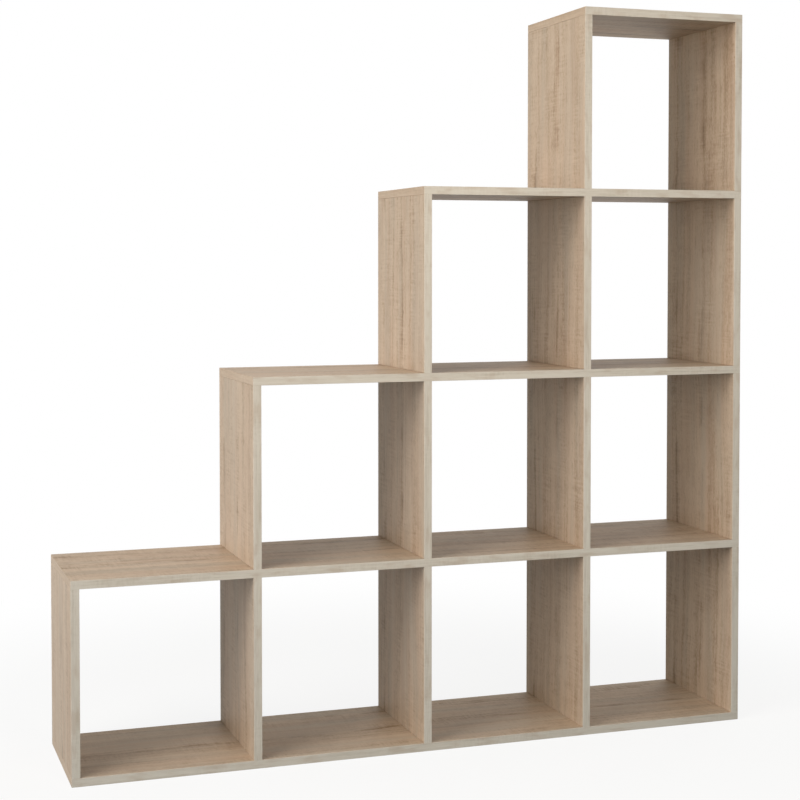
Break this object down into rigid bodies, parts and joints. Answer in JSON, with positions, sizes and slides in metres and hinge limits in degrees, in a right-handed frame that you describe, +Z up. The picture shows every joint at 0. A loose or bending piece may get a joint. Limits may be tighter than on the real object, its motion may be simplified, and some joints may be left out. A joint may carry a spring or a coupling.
{
  "type": "staircase bookshelf",
  "caption": "Free-standing stepped shelf of wood-decor boards, with square open-backed compartments whose columns rise like stairs towards one side.",
  "frame": {"origin": "middle of the footprint, on the floor under the bottom board", "axes": "+X to the right along the boards, towards the tallest column; +Y to the back; +Z up"},
  "size_m": [1.392, 0.29, 1.48],
  "materials": {
    "oak_decor": "light sawn-oak woodgrain decor on 16 mm chipboard, matt, with lighter edge banding",
    "zinc_fitting": "die-cast zinc cam and zinc-plated bolt, satin"
  },
  "bodies": {
    "root": {"bottom_board": "oak_decor", "double_fitting_level1_line2_front": "zinc_fitting", "double_fitting_level1_line2_rear": "zinc_fitting", "double_fitting_level1_line3_front": "zinc_fitting", "double_fitting_level1_line3_rear": "zinc_fitting", "double_fitting_level1_line4_front": "zinc_fitting", "double_fitting_level1_line4_rear": "zinc_fitting", "double_fitting_level1_line5_front": "zinc_fitting", "double_fitting_level1_line5_rear": "zinc_fitting", "double_fitting_level2_line3_front": "zinc_fitting", "double_fitting_level2_line3_rear": "zinc_fitting", "double_fitting_level2_line4_front": "zinc_fitting", "double_fitting_level2_line4_rear": "zinc_fitting", "double_fitting_level2_line5_front": "zinc_fitting", "double_fitting_level2_line5_rear": "zinc_fitting", "double_fitting_level3_line4_front": "zinc_fitting", "double_fitting_level3_line4_rear": "zinc_fitting", "double_fitting_level3_line5_front": "zinc_fitting", "double_fitting_level3_line5_rear": "zinc_fitting", "shelf_board_1": "oak_decor", "shelf_board_2": "oak_decor", "shelf_board_3": "oak_decor", "single_fitting_level0_line1_front": "zinc_fitting", "single_fitting_level0_line1_rear": "zinc_fitting", "single_fitting_level0_line2_front": "zinc_fitting", "single_fitting_level0_line2_rear": "zinc_fitting", "single_fitting_level0_line3_front": "zinc_fitting", "single_fitting_level0_line3_rear": "zinc_fitting", "single_fitting_level0_line4_front": "zinc_fitting", "single_fitting_level0_line4_rear": "zinc_fitting", "single_fitting_level0_line5_front": "zinc_fitting", "single_fitting_level0_line5_rear": "zinc_fitting", "single_fitting_level1_line1_front": "zinc_fitting", "single_fitting_level1_line1_rear": "zinc_fitting", "single_fitting_level2_line2_front": "zinc_fitting", "single_fitting_level2_line2_rear": "zinc_fitting", "single_fitting_level3_line3_front": "zinc_fitting", "single_fitting_level3_line3_rear": "zinc_fitting", "single_fitting_level4_line4_front": "zinc_fitting", "single_fitting_level4_line4_rear": "zinc_fitting", "single_fitting_level4_line5_front": "zinc_fitting", "single_fitting_level4_line5_rear": "zinc_fitting", "top_board": "oak_decor", "upright_row1_line1": "oak_decor", "upright_row1_line2": "oak_decor", "upright_row1_line3": "oak_decor", "upright_row1_line4": "oak_decor", "upright_row1_line5": "oak_decor", "upright_row2_line2": "oak_decor", "upright_row2_line3": "oak_decor", "upright_row2_line4": "oak_decor", "upright_row2_line5": "oak_decor", "upright_row3_line3": "oak_decor", "upright_row3_line4": "oak_decor", "upright_row3_line5": "oak_decor", "upright_row4_line4": "oak_decor", "upright_row4_line5": "oak_decor"}
  },
  "joints": []
}
